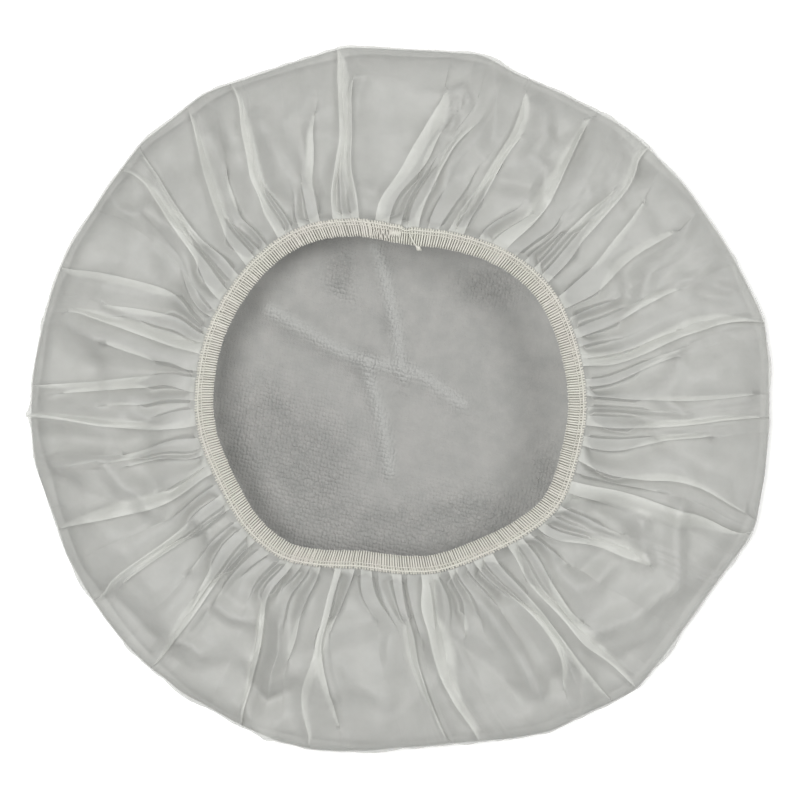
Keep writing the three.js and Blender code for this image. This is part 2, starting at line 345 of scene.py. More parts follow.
RIGHT_UPPER = [
    (1, 1.0, [(445, 97), (432, 112), (415, 140), (400, 170), (382, 200), (375, 215)]),
    (-1, 0.8, [(442, 130), (432, 160), (412, 180), (400, 192), (390, 220)]),
    (-1, 1.0, [(477, 127), (450, 155), (437, 180), (425, 205), (420, 225)]),
    (1, 1.0, [(525, 100), (512, 137), (482, 185), (455, 222), (450, 225)]),
    (-1, 0.9, [(520, 137), (500, 165), (485, 192), (467, 230)]),
    (1, 0.7, [(522, 205), (500, 220), (482, 235)]),
    (1, 0.7, [(540, 210), (500, 237), (495, 240)]),
    (-1, 1.3, [(587, 125), (572, 160), (555, 197), (540, 220), (510, 246)]),
    (1, 0.6, [(560, 232), (532, 255)]),
    (1, 0.9, [(617, 187), (580, 217), (560, 240), (541, 262)]),
    (-1, 0.9, [(640, 157), (632, 185), (575, 252), (551, 281)]),
    (1, 0.9, [(645, 200), (612, 240), (585, 275), (560, 295)]),
    (-1, 0.9, [(672, 235), (637, 255), (610, 278), (590, 297), (568, 307)]),
    (1, 0.7, [(620, 297), (595, 307), (572, 317)]),
    (-1, 0.9, [(677, 290), (637, 312), (622, 320), (600, 330), (578, 338)]),
    (-1, 0.6, [(615, 340), (597, 342), (582, 347)]),
    (-1, 1.3, [(765, 327), (722, 327), (675, 345), (625, 362), (595, 370), (585, 367)]),
    (-1, 0.8, [(675, 352), (650, 365), (625, 377), (605, 386), (587, 387)]),
]
RIGHT_LOWER = [
    (-1, 0.8, [(768, 392), (688, 403), (590, 396)]),
    (-1, 1.0, [(768, 420), (717, 426), (695, 430), (640, 429), (600, 427), (588, 426)]),
    (-1, 0.9, [(712, 430), (675, 439), (645, 445), (628, 450), (597, 451), (584, 446)]),
    (-1, 1.0, [(745, 515), (732, 507), (700, 489), (675, 480), (607, 478), (590, 470), (576, 460)]),
    (1, 1.3, [(752, 532), (735, 532), (700, 511), (675, 507), (640, 495), (610, 485), (585, 482),
              (575, 482)]),
    (1, 0.7, [(625, 536), (590, 520), (564, 507)]),
    (-1, 0.9, [(643, 562), (600, 550), (575, 542), (555, 540), (548, 537)]),
    (1, 0.8, [(585, 622), (575, 615), (550, 580), (527, 540), (522, 537)]),
    (-1, 1.0, [(637, 688), (600, 657), (575, 640), (560, 622), (540, 597), (525, 582), (516, 560),
               (510, 550)]),
    (1, 0.9, [(605, 690), (580, 660), (560, 630), (535, 600), (515, 583), (500, 565), (495, 555)]),
    (-1, 0.9, [(562, 697), (560, 660), (550, 637), (525, 607), (495, 585), (475, 564)]),
    (-1, 0.8, [(462, 636), (465, 615), (463, 597), (450, 577)]),
    (-1, 1.3, [(480, 737), (452, 702), (427, 655), (424, 627), (420, 607), (420, 577)]),
    (1, 1.0, [(437, 745), (425, 712), (413, 670), (402, 610), (402, 577)]),
    (-1, 0.7, [(424, 628), (410, 613), (398, 600), (393, 585), (392, 577)]),
]
TRACED = LEFT_LOWER + LEFT_UPPER + RIGHT_UPPER + RIGHT_LOWER
print("traced folds:", len(TRACED))

# %% [markdown]
# ## The even brim
# Without its folds the brim would rise smoothly from the rim to the seam. Every place on it has a
# direction and a share of the way inwards, and the traced pixels are turned into these two by
# trying a place, seeing where it falls in the picture, and correcting it a few times.

# %% Even brim, and the traced folds on it
FILM_SEAT = SEAT_HEIGHT - 0.1
BRIM_CURVE = 0.45  # below 1, so the brim is steep at the rim and flatter towards the seam
GUESSED_RIM, GUESSED_RUN = 140, 65  # where the search for a pixel's place starts


def even_place(directions, inwards):
    """Points of the even brim: inwards 0 is the rim and 1 the seam's outer side."""
    rim = unit(directions) * rim_radius(directions)[..., None]
    flat = rim + (seam_place(directions, SEAM_OUT) - rim) * inwards[..., None]
    rise = (FILM_SEAT - RIM_HEIGHT) * np.clip(inwards, 1e-9, 1) ** BRIM_CURVE
    return raised(flat, RIM_HEIGHT + rise)


def on_brim(pixels):
    """Direction and share inwards of the places of the even brim seen at some pixels."""
    flat = seen_at(pixels)[:, :2]
    directions = directions_of(flat)
    inwards = np.clip((GUESSED_RIM - np.hypot(*flat.T)) / GUESSED_RUN, 0, 1)
    for _ in range(12):
        here = to_picture(even_place(directions, inwards))
        turn = (to_picture(even_place(directions + 0.1, inwards)) - here) / 0.1
        move = (to_picture(even_place(directions, inwards + 0.001)) - here) / 0.001
        miss = np.asarray(pixels, float) - here
        area = turn[:, 0] * move[:, 1] - turn[:, 1] * move[:, 0]
        directions = directions + (miss[:, 0] * move[:, 1] - miss[:, 1] * move[:, 0]) / area
        inwards = inwards + (turn[:, 0] * miss[:, 1] - turn[:, 1] * miss[:, 0]) / area
        inwards = np.clip(inwards, 0, 1)
    return directions % 360, inwards


folds = []
for lean, strength, pixels in TRACED:
    directions, inwards = on_brim(pixels)
    order = np.argsort(inwards)
    directions = np.degrees(np.unwrap(np.radians(directions[order])))
    folds.append((directions[-1] % 360, lean, strength, inwards[order],
                  directions - directions[-1] + directions[-1] % 360))
folds.sort(key=lambda fold: fold[0])
gaps = np.diff([fold[0] for fold in folds] + [folds[0][0] + 360])
print("folds at the seam are", gaps.min().round(1), "to", gaps.max().round(1), "degrees apart")

# %% [markdown]
# ## Fold lines on every ring
# The seam's thread packs a fold about every 4 mm, so finer folds go between the traced ones.
# They start part of the way in, as gathers do, where the extra length has no other place to go.
# Outside its start a fold's line runs on between its neighbours, and no two lines come too close.

# %% Directions of all folds on all rings
FINE_GAP = 3.3  # degrees between folds at the seam
RING_STEP = 1.45
LINES_APART = 2.5
RUNS_TO_RIM = 0.12  # a traced fold that starts nearer the rim than this share is drawn up to it
draw = np.random.default_rng(11)
profile = np.linspace(0, 1, 4001)
mean_run = run_along(even_place(np.full(profile.shape, 200.0), profile))
brim_rings = int(round(mean_run[-1] / RING_STEP)) + 1
inwards = np.interp(np.linspace(0, mean_run[-1], brim_rings), mean_run, profile)

lines = []
for (place, lean, strength, along, directions), gap in zip(folds, gaps):
    lines.append((place, lean, strength, along[0], along, directions))
    finer = int(round(gap / FINE_GAP)) - 1
    for step in range(finer):
        share = (step + 1 + draw.uniform(-0.2, 0.2)) / (finer + 1)
        lines.append((place + gap * share, draw.choice([-1, 1]), draw.uniform(0.4, 0.7),
                      draw.uniform(0.4, 0.85), None, None))
fold_count = len(lines)
at_seam = np.array([line[0] for line in lines])
lean = np.array([line[1] for line in lines])
strength = np.array([line[2] for line in lines])
start = np.array([line[3] for line in lines])


def nearest_turn(direction, near):
    """The same direction, in whole turns more or less so that it is within half a turn of near."""
    return near + (direction - near + 180) % 360 - 180


fold_at = np.zeros((brim_rings, fold_count))
fold_at[-1] = at_seam
for ring in range(brim_rings - 2, -1, -1):
    fixed = []
    for number, line in enumerate(lines):
        along, directions = line[4:]
        if along is not None and (inwards[ring] >= along[0] or along[0] < RUNS_TO_RIM):
            direction = np.interp(inwards[ring], along, directions)
            fold_at[ring, number] = nearest_turn(direction, at_seam[number])
            fixed.append(number)
    for number in range(fold_count):
        if number in fixed:
            continue
        before = max([item for item in fixed if item < number], default=fixed[-1])
        after = min([item for item in fixed if item > number], default=fixed[0])
        last = fold_at[ring + 1]
        share = ((last[number] - last[before]) % 360) / ((last[after] - last[before]) % 360)
        gap = (fold_at[ring, after] - fold_at[ring, before]) % 360
        direction = fold_at[ring, before] + share * gap
        fold_at[ring, number] = nearest_turn(direction, at_seam[number])

ring_size = np.array([np.hypot(*even_place(EVERY, np.full(EVERY.shape, share))[:, :2].T).mean()
                      for share in inwards])
apart = LINES_APART / (ring_size[:, None] * math.pi / 180)
for _ in range(80):
    after = np.roll(fold_at, -1, axis=1)
    after[:, -1] += 360
    push = np.clip(apart - (after - fold_at), 0, None) / 2
    fold_at += np.roll(push, 1, axis=1) - push
    fold_at[1:-1] = fold_at[1:-1] * 0.9 + 0.05 * (fold_at[2:] + fold_at[:-2])
print("folds:", fold_count, "rings of the brim:", brim_rings)

# %% [markdown]
# ## Lengths of the flat film
# Every ring of the flat disc keeps its length. The crown and the even brim are measured from the
# middle outwards and over the rim, because that is how far each ring lies out on the flat disc.

# %% Rings of the film, flat and gathered
ring_rows = np.stack([even_place(EVERY, np.full(EVERY.shape, share)) for share in inwards])
ring_run = run_along(np.concatenate([ring_rows, ring_rows[:, :1]], axis=1), axis=1)
ring_length = ring_run[:, -1]
crown_share = np.array([0.14, 0.32, 0.5, 0.66, 0.78, 0.85, 0.89, 0.925, 0.955, 0.978, 0.992, 1.0])
CROWN_LIFT = 0.08
CROWN_TURN = 0.85  # the share of the way out at which the crown turns up to the rim


def crown_rise(share):
    """Height of the crown above the table: flat in the middle and rounded up to the rim."""
    turn = np.clip((share - CROWN_TURN) / (1 - CROWN_TURN), 0, 1)
    return CROWN_LIFT + (RIM_HEIGHT - CROWN_LIFT) * (1 - np.sqrt(1 - turn ** 2.3))


crown_run = np.concatenate([[0], np.cumsum(np.hypot(np.diff(profile) * rim_table.mean(),
                                                    np.diff(crown_rise(profile))))])
flat_table = crown_run[-1] * rim_table / rim_table.mean() + run_along(ring_rows)
cut_reach = flat_table[-1] + SEAM_OUT - CUT_EDGE
flat_table = flat_table * ((flat_table[-1].mean() + SEAM_OUT - CUT_EDGE) / cut_reach)
flat_mean = flat_table.mean(axis=1)
print("flat radius at the rim", flat_mean[0].round(1), "and at the seam", flat_mean[-1].round(1))

# %% [markdown]
# ## Length that each fold takes up
# Where a ring of the flat film is longer than the ring of the even brim, the difference goes into
# the folds near by, and more of it into the stronger ones.

# %% Share of the spare length for each fold
PUFF = 0.02  # the part of the length that makes the film between folds bulge
SHARED_OVER = 8.0  # mm to either side from which a fold draws its length
SPOTS = 1200

fold_run = np.stack([np.interp(row % 360, np.append(EVERY, 360), run) + row // 360 * run[-1]
                     for row, run in zip(fold_at, ring_run)])
alive = np.where(start < 0.1, 1.0, smooth(inwards[:, None], start - 0.04, start + 0.14))
take_up = np.zeros_like(fold_run)
for ring, length in enumerate(ring_length):
    spots = (np.arange(SPOTS) + 0.5) / SPOTS * length
    away = np.abs((spots[:, None] - fold_run[ring] + length / 2) % length - length / 2)
    weight = (alive[ring] * strength ** 2 + 1e-6) * np.exp(-away / SHARED_OVER)
    take_up[ring] = (weight / weight.sum(axis=1, keepdims=True)).mean(axis=0)
spare = np.clip(2 * math.pi * flat_mean / (1 + PUFF) - ring_length, 0, None)
laid = 0.5 * spare[:, None] * take_up  # the overlap of each fold if it lay flat
print("spare length at the seam", spare[-1].round(0), "mm")

# %% [markdown]
# ## Height and overlap of the folds
# Towards the rim a fold lies over flat. Near the seam there is no room for that, so the folds
# stand up as deep pleats and overlap less. How much less follows from the film's length, which
# has to stay the same: the overlap is found by halving a range in which it must lie.

# %% Folds that stand up near the seam
LEAST_FOLD, TALL_FOLD, TALLEST_FOLD = 0.3, 3.6, 3.4
TALL_FROM = 0.397  # the share inwards from which folds have their full height
FULL_OVERLAP = 1.6  # a fold that takes up less than this is lower
SEAM_FOLD, SEAM_SLOPE = 0.5, 60  # the folds are pressed down where the seam holds them

depth = LEAST_FOLD + TALL_FOLD * np.sin(
    math.pi / 2 * np.clip(inwards / TALL_FROM, 0, 1) ** 0.75) ** 0.8
depth = np.minimum(depth, SEAM_FOLD + SEAM_SLOPE * (1 - inwards))[:, None] * strength * alive
depth = np.minimum(depth * np.sqrt(np.clip(laid / FULL_OVERLAP, 0.04, 1)), TALLEST_FOLD)
next_run = np.roll(fold_run, -1, axis=1)
next_run[:, -1] += ring_length
spacing = next_run - fold_run
spacing = (spacing + np.roll(spacing, 1, axis=1)) / 2
whole = spacing + 2 * laid  # the film's length that goes with each fold
upright = smooth(inwards, 0.45, 0.8)[:, None]
depth = np.minimum(depth, SEAM_FOLD + 0.225 * (whole ** 2 - spacing ** 2) / whole)
least, most = np.zeros_like(laid), laid.copy()
rise = 2 * depth * upright
for _ in range(24):
    middle = (least + most) / 2
    longer = np.hypot(spacing + middle, rise) + np.hypot(middle, rise) > whole
    least, most = np.where(longer, least, middle), np.where(longer, middle, most)
overlap = least
print("overlap at the seam", overlap[-1].mean().round(2), "mm, widest", overlap.max().round(2))

# %% [markdown]
# ## Points of the folded film
# The film runs past a fold's line, turns back under itself, and turns again. The points of every
# ring follow the same fold lines, so every edge is clean. Beside its place on the brim, each
# point gets a direction on the flat disc, which the settling below needs.

# %% Film as folded
PANEL, RETURN = 6, 4  # points of each ring between two folds, and in the part that turns back
LEAST_RETURN = 1.2
columns = fold_count * (PANEL + RETURN)

back = np.where(overlap < LEAST_RETURN, LEAST_RETURN - 2 * overlap, -overlap)
fold_end = np.where(lean > 0, fold_run, fold_run - back)
fold_begin = np.where(lean > 0, fold_run + back, fold_run)
end_height, begin_height = depth * lean, -depth * lean
next_end = np.roll(fold_end, -1, axis=1)
next_end[:, -1] += ring_length
next_end_height = np.roll(end_height, -1, axis=1)

span, climb = next_end - fold_begin, next_end_height - begin_height
share = np.arange(PANEL) / PANEL
bulge = draw.uniform(-0.4, 1.0, fold_count) * 0.1 * np.clip(span, 0, 16)
panel_run = fold_begin[..., None] + span[..., None] * share
panel_height = (begin_height[..., None] + climb[..., None] * smooth(share)
                + bulge[..., None] * np.sin(math.pi * share))
panel_length = np.hypot(span, upright * climb)
panel_flat = panel_length[..., None] * (1 + PUFF) / PANEL * np.ones(PANEL)

share = np.arange(RETURN) / RETURN
step_back = np.roll(fold_begin - fold_end, -1, axis=1)
step_down = np.roll(begin_height - end_height, -1, axis=1)
back_run = next_end[..., None] + step_back[..., None] * share
back_height = next_end_height[..., None] + step_down[..., None] * smooth(share)
back_length = np.hypot(np.maximum(overlap, LEAST_RETURN), 2 * upright * depth)
back_flat = np.roll(back_length, -1, axis=1)[..., None] / RETURN * np.ones(RETURN)
film_run, film_height, film_step = (
    np.concatenate(parts, axis=2).reshape(brim_rings, columns)
    for parts in ((panel_run, back_run), (panel_height, back_height), (panel_flat, back_flat)))

film_at = np.stack([np.interp(row % length, run, np.append(EVERY, 360)) + row // length * 360
                    for row, run, length in zip(film_run, ring_run, ring_length)])
turned = np.concatenate([np.zeros((brim_rings, 1)), np.cumsum(film_step, axis=1)[:, :-1]], axis=1)
turned = turned / film_step.sum(axis=1, keepdims=True) * 360
turned += (film_at - turned).mean(axis=1, keepdims=True)
print("points in each ring of the film:", columns)

# %% [markdown]
# ## Small shapes in the film
# Thin film also keeps dents and creases from being packed, which cross the folds. They are traced
# from the photo: each has a height (below 0 for a hollow) and a width in mm, and a line of pixels.

# %% Traced dents and creases
DENTS_UPPER_LEFT = [
    (2.0, 7, [(115, 198), (122, 210), (135, 218), (150, 213), (165, 222), (185, 236)]),
    (2.0, 8, [(262, 128), (275, 150), (285, 172), (308, 192)]),
    (1.8, 10, [(55, 322), (75, 325), (100, 340)]),
    (-1.6, 9, [(90, 365), (130, 372), (170, 374)]),
    (-1.4, 10, [(140, 270), (100, 262)]),
    (1.2, 10, [(370, 80), (395, 110), (410, 150)]),
    (-1.2, 8, [(215, 150), (232, 190), (250, 225)]),
    (1.2, 6, [(205, 100), (222, 118), (236, 140)]),
    (-1.4, 7, [(325, 150), (322, 190)]),
    (1.2, 4, [(372, 185), (382, 195), (380, 210)]),
]
DENTS_LOWER_LEFT = [
    (1.8, 7, [(40, 415), (60, 416), (85, 423), (110, 430)]),
    (2.4, 6, [(62, 466), (85, 462), (105, 458), (113, 470), (125, 485), (140, 492), (152, 508)]),
    (-1.8, 8, [(58, 478), (78, 490), (104, 500)]),
    (-1.4, 8, [(60, 440), (100, 443), (140, 440)]),
    (1.7, 4, [(200, 518), (207, 525), (210, 540), (222, 537)]),
    (1.8, 5, [(220, 606), (232, 616), (253, 621)]),
    (1.5, 4, [(180, 637), (195, 643), (203, 652)]),
    (-1.4, 8, [(170, 660), (200, 670), (225, 665)]),
    (2.0, 5, [(280, 622), (279, 650), (272, 670), (270, 690)]),
    (-1.8, 8, [(243, 680), (265, 707), (292, 695)]),
    (1.6, 5, [(247, 703), (255, 720), (268, 735)]),
    (1.3, 6, [(347, 664), (358, 682), (387, 697)]),
    (1.0, 10, [(392, 612), (388, 650), (380, 700), (378, 735)]),
    (-1.5, 9, [(112, 600), (130, 620), (152, 640)]),
    (-1.2, 6, [(285, 590), (297, 600)]),
    (1.4, 7, [(330, 690), (318, 670)]),
]
DENTS_LOWER_RIGHT = [
    (2.0, 6, [(676, 510), (673, 550), (671, 585), (650, 597), (635, 615), (592, 630)]),
    (1.5, 5, [(640, 520), (638, 545), (643, 560)]),
    (-1.6, 6, [(598, 512), (620, 525), (633, 540)]),
    (-1.5, 7, [(560, 560), (580, 572), (598, 562)]),
    (1.2, 5, [(552, 562), (575, 586), (600, 580), (612, 566)]),
    (-1.6, 7, [(500, 600), (530, 640), (555, 682)]),
    (-1.4, 7, [(455, 640), (490, 670), (520, 700)]),
    (1.4, 5, [(480, 600), (510, 640), (540, 690)]),
    (1.4, 6, [(581, 680), (580, 712)]),
    (-1.2, 5, [(455, 600), (463, 625)]),
    (-1.4, 8, [(660, 442), (690, 462), (740, 482)]),
    (1.2, 6, [(650, 440), (670, 460), (692, 472)]),
    (-1.2, 5, [(610, 410), (640, 416)]),
    (1.2, 5, [(655, 392), (668, 402), (682, 415)]),
    (-1.4, 9, [(690, 600), (655, 640), (620, 660)]),
]
DENTS_UPPER_RIGHT = [
    (1.6, 6, [(438, 60), (445, 75), (437, 95)]),
    (1.5, 4, [(452, 95), (462, 92), (466, 105)]),
    (1.4, 3, [(451, 105), (452, 130)]),
    (1.6, 8, [(490, 70), (495, 100), (492, 140)]),
    (2.0, 6, [(540, 110), (545, 140), (530, 158), (545, 170), (542, 200)]),
    (1.6, 8, [(590, 150), (585, 180), (588, 200)]),
    (1.5, 6, [(675, 200), (690, 215), (680, 240), (650, 270), (640, 295)]),
    (-1.8, 7, [(625, 265), (632, 285), (625, 305)]),
    (-1.3, 5, [(598, 345), (612, 343)]),
    (0.8, 4, [(680, 280), (700, 283), (730, 292)]),
    (-0.5, 4, [(700, 290), (728, 298)]),
    (1.2, 5, [(672, 352), (678, 365), (665, 385)]),
    (-1.4, 8, [(465, 180), (470, 200)]),
    (-1.2, 6, [(500, 180), (530, 185)]),
    (1.1, 8, [(700, 380), (740, 390)]),
    (-1.2, 9, [(620, 140), (640, 165)]),
]
DENTS = DENTS_UPPER_LEFT + DENTS_LOWER_LEFT + DENTS_LOWER_RIGHT + DENTS_UPPER_RIGHT
print("traced dents and creases:", len(DENTS))

# %% [markdown]
# ## Film put in place
# The folded rings are laid over the even brim, each point so far off it as its fold is high there.

# %% Place the film's rings


def from_line(places, line):
    """Distance in the plan from places to a line of points."""
    nearest = np.full(places.shape[:-1], 1e9)
    for begin, end in zip(line[:-1], line[1:]):
        ahead = end - begin
        share = np.clip(((places - begin) @ ahead) / (ahead @ ahead), 0, 1)
        nearest = np.minimum(nearest, np.linalg.norm(places - begin - share[..., None] * ahead,
                                                     axis=-1))
    return nearest


inwards_all = np.broadcast_to(inwards[:, None], film_at.shape)
even = even_place(film_at, inwards_all)
along_ring = even_place(film_at + 0.2, inwards_all) - even_place(film_at - 0.2, inwards_all)
along_brim = (even_place(film_at, np.clip(inwards_all + 0.01, 0, 1))
              - even_place(film_at, np.clip(inwards_all - 0.01, 0.001, 1)))
normal = np.cross(along_brim, along_ring)
normal /= np.linalg.norm(normal, axis=-1, keepdims=True)
normal *= np.where(normal[..., 2:] < 0, -1, 1)

brim = even + normal * film_height[..., None]
print("brim reaches up to", brim[..., 2].max().round(1), "mm")

# %% [markdown]
# ## Settling
# Film hardly stretches, so every length between two of its points has to be what it was when the
# film lay flat. The folded film is settled by putting these lengths right again and again, a little
# at a time, which makes it buckle as thin film does. The seam is held in place meanwhile, and the
# rim moves half as far as it would.

# %% Settle the film to its flat lengths
flat_reach = np.stack([np.interp(row % 360, EVERY, table, period=360)
                       for row, table in zip(film_at, flat_table)])
flat_film = unit(turned) * flat_reach[..., None]


def span_of(first, second):
    return np.maximum(np.linalg.norm(second - first, axis=-1), 1e-6)


def put_right(places, first, second, rest, pull):
    """Move two sets of points together or apart, half each, until they are rest apart."""
    step = places[second] - places[first]
    length = np.maximum(np.linalg.norm(step, axis=-1), 1e-6)
    share = 0.5 * pull * (1 - rest / length)
    step *= share[..., None]
    places[first] += step
    places[second] -= step


def settled(places, flat, rounds, sweeps):
    """The folded film with its lengths put right. After each round the moves so far are evened
    out between neighbours, because film resists bending as well."""
    start, places = places, places.copy()
    rows, count = places.shape[:2]
    everywhere, links = np.arange(count), []

    def link(rows_first, columns_first, further, over, pull):
        first = np.ix_(rows_first, columns_first)
        second = np.ix_(rows_first + further, (columns_first + over) % count)
        links.append((first, second, span_of(flat[first], flat[second]), pull))

    for odd in (0, 1):
        link(np.arange(rows), everywhere[odd::2], 0, 1, 0.8)
        rows_first = np.arange(odd, rows - 1, 2)
        link(rows_first, everywhere, 1, 0, 0.8)
        link(rows_first, everywhere, 1, 1, 0.2)
        link(rows_first, everywhere, 1, -1, 0.2)
    for _ in range(rounds):
        for _ in range(sweeps):
            for first, second, rest, pull in links:
                put_right(places, first, second, rest, pull)
            places[0] = start[0] + 0.5 * (places[0] - start[0])
            places[-1] = start[-1]
        moved = places - start
        moved = sum(np.roll(moved, step, axis=1) * weight
                    for step, weight in zip(range(-3, 4), AROUND))
        padded = np.concatenate([moved[:1]] * 4 + [moved] + [moved[-1:]] * 4)
        moved = sum(padded[4 + step:4 + step + rows] * weight
                    for step, weight in zip(range(-4, 5), ALONG))
        places = start + moved
    return places


AROUND = np.exp(-0.5 * (np.arange(-3, 4) / 1.2) ** 2)
AROUND /= AROUND.sum()
ALONG = np.exp(-0.5 * (np.arange(-4, 5) / 2.0) ** 2)
ALONG /= ALONG.sum()
brim = settled(brim, flat_film, 6, 16)
stretch = span_of(brim[:-1], brim[1:]) / span_of(flat_film[:-1], flat_film[1:])
print("lengths from rim to seam are", stretch.mean().round(3), "of the flat ones, spread",
      stretch.std().round(3))

# %% [markdown]
# ## Dents and swells
# Dents, creases and swells belong to the place on the brim, so film layers that lie on each other
# follow them together. The swells have straight sides, because stiff film breaks into flat facets.
# Small creases at seeded places are added across the brim as well.

# %% Press the dents into the film
DENT_RISE = 2.6  # the traced heights times this
SOFT_TOP, TOP_ROOM = 28.3, 2.2  # pleats are squeezed from this height, into so much room
FILM_LOWEST = 3.0
LEAST_CREASED = 0.8  # a fold that takes up less than this is round, with no crease
SMALL_CREASES = 90
fade = np.sin(math.pi * np.clip(inwards, 0, 1) ** 0.6)[:, None]
swell = (2.6 * wander(even, 52, 3, waves=4, wave=ridged)
         + 1.1 * wander(even, 25, 4, waves=4, wave=ridged))
crumple = 1.3 * np.abs(wander(even, 42, 5, waves=4, wave=ridged))
height = fade * (swell + 1.0 - crumple)
for tall, wide, pixels in DENTS:
    directions, share = on_brim(pixels)
    away = from_line(even[..., :2], even_place(directions, share)[:, :2])
    height = height + (DENT_RISE * tall * np.clip(1 - away / wide, 0, 1) ** 1.2
                       * np.minimum(1, fade * 2.5))
for _ in range(SMALL_CREASES):
    at, share, turn, long = draw.uniform([0, 0.05, -60, 8], [360, 0.8, 60, 24])
    middle = even_place(np.array([at]), np.array([share]))[0, :2]
    ahead = unit(at + 180 + turn) * long / 2
    away = from_line(even[..., :2], np.array([middle - ahead, middle + ahead]))
    height = height + draw.choice([-1.1, 1.1]) * np.clip(1 - away / draw.uniform(4, 9), 0, 1) * fade
brim = brim + normal * height[..., None]
proud = np.clip(brim[..., 2] - SOFT_TOP, 0, None)
squeezed = TOP_ROOM * (1 - np.exp(-proud / TOP_ROOM))
brim[..., 2] = np.maximum(brim[..., 2] - proud + squeezed, FILM_LOWEST)

# %% [markdown]
# ## The whole film
# Inside the rim the crown closes the film, and past the brim it runs on under the elastic to its
# cut edge. Folds with enough film in them get a sharp crease along their top.

# %% Crown, brim and cut edge in one sheet
crown_out = unit(film_at[0]) * rim_radius(film_at[0])[:, None]
crown = [raised(crown_out * share, crown_rise(share)) for share in crown_share[:-1]]
tuck = [raised(seam_place(film_at[-1], outward), brim[-1][:, 2])
        for outward in np.linspace(SEAM_OUT, CUT_EDGE, 6)[1:]]
film_places = np.concatenate([np.stack(crown), brim, np.stack(tuck)])
creased = np.zeros(film_places.shape[:2], bool)
fold_lines = np.zeros((brim_rings, fold_count, PANEL + RETURN), bool)
top_edges = laid > LEAST_CREASED
fold_lines[:, :, 0] = top_edges & (lean < 0)
fold_lines[:, :, PANEL] = np.roll(top_edges & (lean > 0), -1, axis=1)
creased[len(crown):len(crown) + brim_rings] = fold_lines.reshape(brim_rings, columns)
film = woven("film", film_places, middle=(0.0, 0.0, CROWN_LIFT), creased=creased)

# %% [markdown]
# ## Terry lining
# The inside of the crown is lined with a looped knit, which runs on a little past the rim under
# the brim. It lies loose in the crown, so it bulges softly and has a few long creases. These are
# ridges and hollows of the sheet, traced from the photo as the folds are.

# %% Terry lining
LINING_OFF = 0.95  # from the film to the middle of the pile
LINING_EDGE = 0.45  # the same at the rim, where the pile is pressed
LINING_TURN = 6.0  # how far the lining runs on under the brim, above the rim
LINING_CREASES = [
    (1.9, 3.8, [(375, 247), (385, 277), (397, 330), (400, 360), (405, 377)]),
    (2.6, 5.5, [(272, 310), (313, 334), (341, 351), (364, 360)]),
    (-1.3, 6.0, [(262, 334), (300, 352), (340, 376), (362, 396)]),
    (1.7, 3.6, [(364, 360), (374, 392), (382, 420), (387, 450), (390, 472)]),
    (-1.2, 3.2, [(335, 295), (360, 312), (380, 327)]),
    (1.6, 4.2, [(375, 363), (415, 371), (437, 385), (462, 404)]),
]
CREASE_DROP = 6.6  # the creases lie so far below the rim's height
LINING_BULGE, BULGE_AT, BULGE_WIDE = 2.6, [0, 4], 45
KNIT_PATCHES = [  # pixels: the middle and half size of the places where the loops stand up
    (340, 272, 16, 24), (492, 285, 34, 22), (262, 425, 30, 40), (312, 470, 46, 60),
    (385, 532, 75, 26), (485, 520, 60, 30), (548, 480, 15, 30)]
LINING_COLUMNS = 500
CREST_WIDE, CREST_LOFT = 2.6, 0.45
lining_share = np.concatenate([np.linspace(0.02, 0.84, 110), np.linspace(0.847, 1.0, 30)])
lining_at = np.arange(LINING_COLUMNS) / LINING_COLUMNS * 360
slope = crown_rise(lining_share + 5e-4) - crown_rise(lining_share - 1e-3)
slope = slope / (1.5e-3 * rim_table.mean())
lining_off = LINING_OFF + (LINING_EDGE - LINING_OFF) * smooth(lining_share, 0.9, 1.0)
lining_up = lining_off / np.sqrt(1 + slope ** 2)
lining_in = lining_off * slope / np.sqrt(1 + slope ** 2)
reach = rim_radius(lining_at) * lining_share[:, None] - lining_in[:, None]
lining_flat = unit(lining_at)[None] * reach[..., None]
lining_high = (crown_rise(lining_share) + lining_up)[:, None]
rumple = 0.25 * wander(lining_flat, 34, 21) + 0.12 * wander(lining_flat, 15, 22)
# crest marks the tops of the raised creases: the loops stand up there, and the material paints a
# highlight along them
crest = 0
for tall, wide, pixels in LINING_CREASES:
    away = from_line(lining_flat, seen_at(pixels, RIM_HEIGHT - CREASE_DROP)[:, :2])
    rumple = rumple + tall * np.exp(-(away / wide) ** 2)
    if tall > 0:
        crest = crest + np.exp(-(away / CREST_WIDE) ** 2)
off_middle = ((lining_flat - BULGE_AT) ** 2).sum(axis=-1)
rumple = rumple + LINING_BULGE * np.exp(-off_middle / BULGE_WIDE ** 2)
rumple = np.maximum(rumple, -0.6) * smooth(1 - lining_share, 0.02, 0.12)[:, None]
crown_lining = raised(lining_flat, lining_high + rumple)
turned_in = []
for ring in brim[1:int(LINING_TURN / RING_STEP) + 1]:
    at, out = directions_of(ring[:, :2]), np.hypot(ring[:, 0], ring[:, 1])
    near = np.abs((at - lining_at[:, None] + 180) % 360 - 180) < 2.5
    inner = softened(np.where(near, out, np.inf).min(axis=1), 2) - LINING_EDGE
    high = softened(np.where(near, ring[:, 2], np.inf).min(axis=1), 2) - LINING_EDGE
    turned_in.append(raised(unit(lining_at) * inner[:, None], high))
lining_places = np.concatenate([crown_lining, np.stack(turned_in)])
lining = woven("lining", lining_places, middle=(0.0, 0.0, CROWN_LIFT + LINING_OFF))
seen = to_picture(np.append(lining_places.reshape(-1, 3), [[0.0, 0.0, 1.0]], axis=0))
loft = sum(np.exp(-((seen[:, 0] - x) / wide) ** 2 - ((seen[:, 1] - y) / tall) ** 2)
           for x, y, wide, tall in KNIT_PATCHES)
crest = np.append(np.clip(crest, 0, 1).reshape(-1), np.zeros(len(seen) - crest.size))
for name, values in (("loft", np.clip(loft + CREST_LOFT * crest, 0, 1)), ("crest", crest)):
    lining.data.attributes.new(name, "FLOAT", "POINT").data.foreach_set("value", values)

